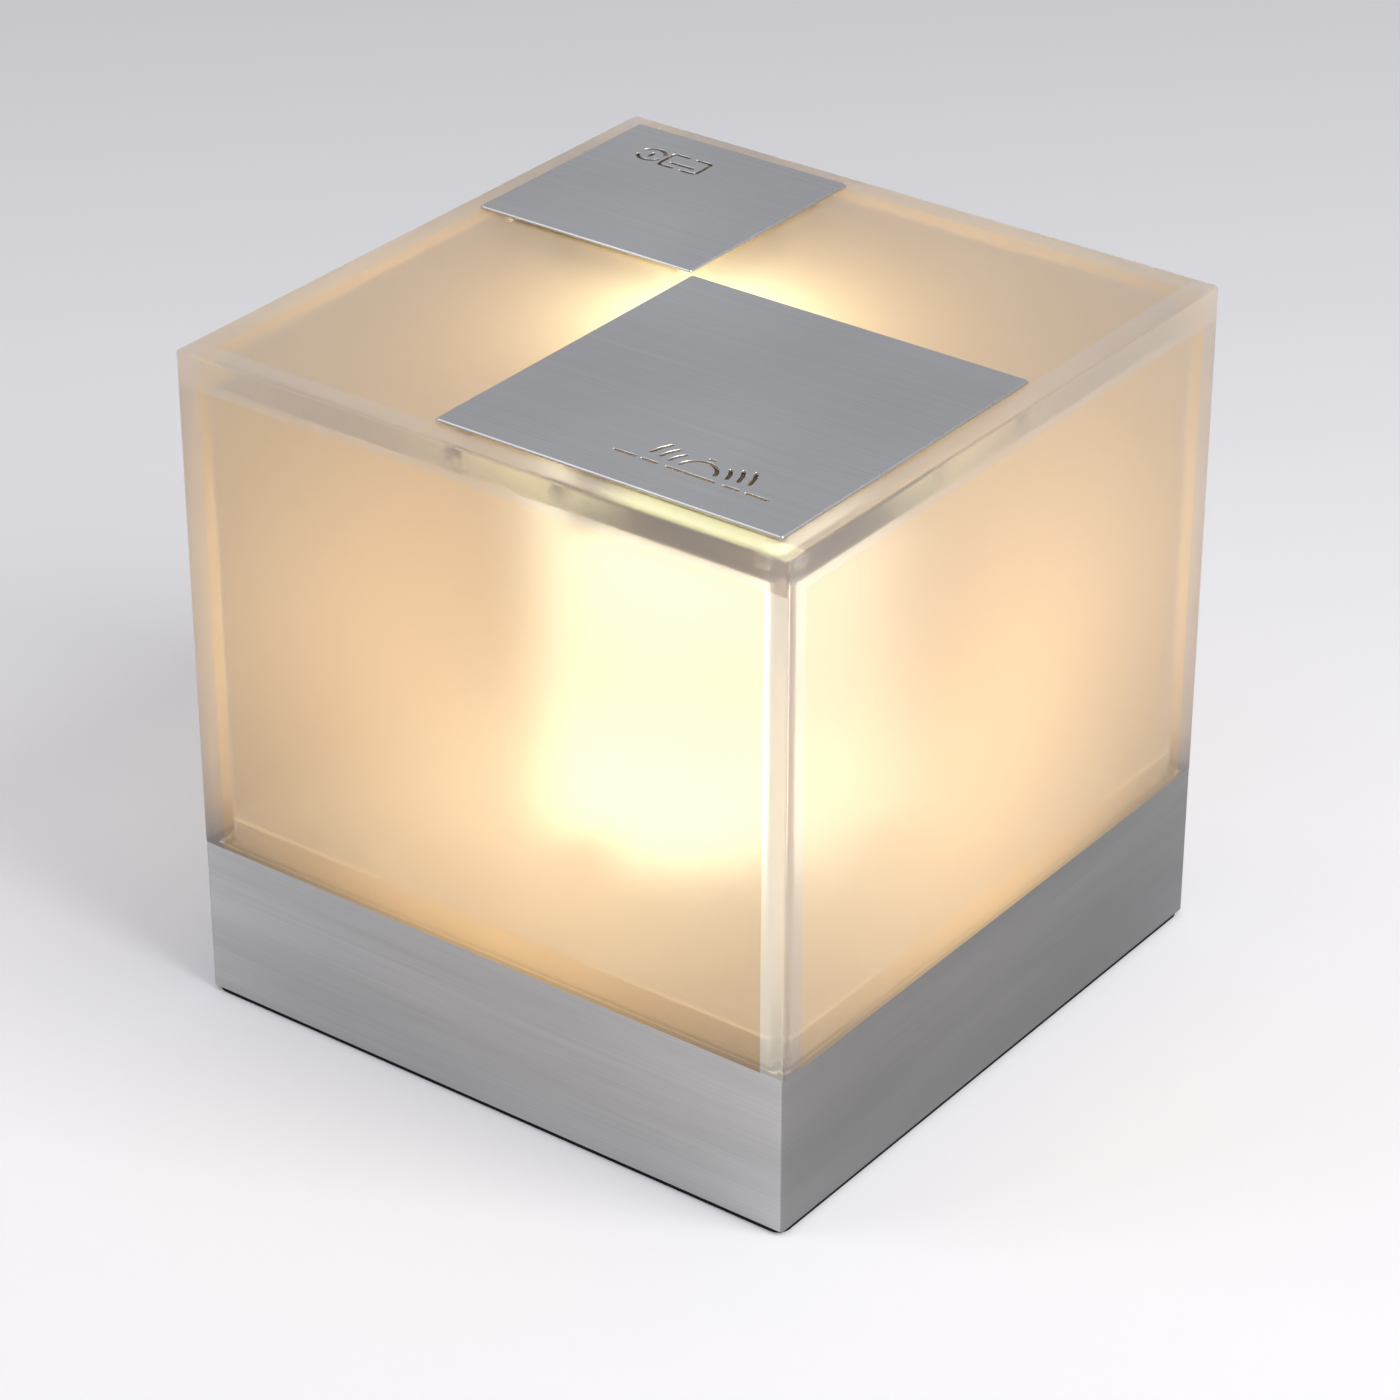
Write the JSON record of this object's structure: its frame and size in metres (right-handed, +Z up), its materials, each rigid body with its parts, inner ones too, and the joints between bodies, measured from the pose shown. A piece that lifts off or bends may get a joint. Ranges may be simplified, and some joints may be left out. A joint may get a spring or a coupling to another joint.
{
  "type": "waiter call button",
  "caption": "Lit frosted cube on a brushed steel base; pressing a steel plate on its top calls the waiter or asks for the bill.",
  "frame": {"origin": "centre of the foot pad's underside", "axes": "+Z up; -Y is the front, which the larger plate stands next to; +X to the right of the front"},
  "size_m": [0.08, 0.08, 0.0812],
  "materials": {
    "frosted_acrylic": "frosted translucent acrylic, satin outside with clearer edges",
    "brushed_steel": "brushed stainless steel, fine straight grain",
    "stud_steel": "plain turned stainless steel",
    "foot_rubber": "matt black rubber",
    "seal_silicone": "pale silicone",
    "pale_moulding": "pale moulded plastic, fine satin",
    "dark_moulding": "black moulded plastic, fine texture",
    "opal_core": "opal diffuser, lit warm white",
    "screw_steel": "zinc plated steel",
    "cell_wrap": "plain grey film",
    "foam": "closed-cell foam",
    "board_green": "solder-masked board",
    "board_white": "white solder mask",
    "component_black": "moulded component body",
    "connector_ivory": "moulded connector",
    "shield_tin": "tinned shield can",
    "copper": "enamelled copper winding",
    "ferrite": "sintered ferrite sheet",
    "lead_wire": "silicone covered wire",
    "mast_aluminium": "extruded aluminium",
    "led_lens": "warm white lamp",
    "flex_film": "polyester flex",
    "acetal": "natural acetal",
    "spring_steel": "spring steel"
  },
  "bodies": {
    "housing": {"base_chassis": "pale_moulding", "base_collar": "brushed_steel", "battery_cell": "cell_wrap", "battery_connector": "connector_ivory", "battery_leads": "lead_wire", "battery_lower_pad": "foam", "battery_upper_pad": "foam", "bill_bracket_screws": "screw_steel", "bill_flex": "flex_film", "bill_guide_bush": "acetal", "bill_return_spring": "spring_steel", "bill_switch_board": "board_white", "bill_switch_body": "component_black", "bill_switch_bracket": "pale_moulding", "board_screws": "screw_steel", "bottom_cover": "dark_moulding", "call_bracket_screws": "screw_steel", "call_flex": "flex_film", "call_guide_bush": "acetal", "call_return_spring": "spring_steel", "call_switch_board": "board_white", "call_switch_body": "component_black", "call_switch_bracket": "pale_moulding", "charging_coil": "copper", "coil_connector": "connector_ivory", "coil_ferrite": "ferrite", "coil_leads": "lead_wire", "collar_lugs": "stud_steel", "core_grommet": "seal_silicone", "cover_screws": "screw_steel", "diffuser_shell": "frosted_acrylic", "flex_connectors": "connector_ivory", "foot_pad": "foot_rubber", "junction_board": "board_white", "led_emitters": "led_lens", "led_mast": "mast_aluminium", "led_strips": "board_white", "light_core": "opal_core", "main_board": "board_green", "mast_screws": "screw_steel", "power_chip": "component_black", "radio_module": "shield_tin", "shell_seal": "seal_silicone", "trunk_connector": "connector_ivory", "trunk_ribbon": "flex_film"},
    "call_button": {"call_plate": "brushed_steel", "call_plunger": "stud_steel", "call_retaining_clip": "spring_steel", "call_guide_pins": "stud_steel", "call_switch_actuator": "component_black"},
    "bill_button": {"bill_plate": "brushed_steel", "bill_plunger": "stud_steel", "bill_retaining_clip": "spring_steel", "bill_guide_pins": "stud_steel", "bill_switch_actuator": "component_black"}
  },
  "joints": [
    {"name": "call_button_press", "type": "slide", "parent": "housing", "child": "call_button", "axis": [0, 0, -1], "range_m": [0, 0.0002], "stiffness_N_per_m": 2000, "springref_m": -0.0001, "deforming": ["call_return_spring"]},
    {"name": "bill_button_press", "type": "slide", "parent": "housing", "child": "bill_button", "axis": [0, 0, -1], "range_m": [0, 0.0002], "stiffness_N_per_m": 2000, "springref_m": -0.0001, "deforming": ["bill_return_spring"]}
  ]
}
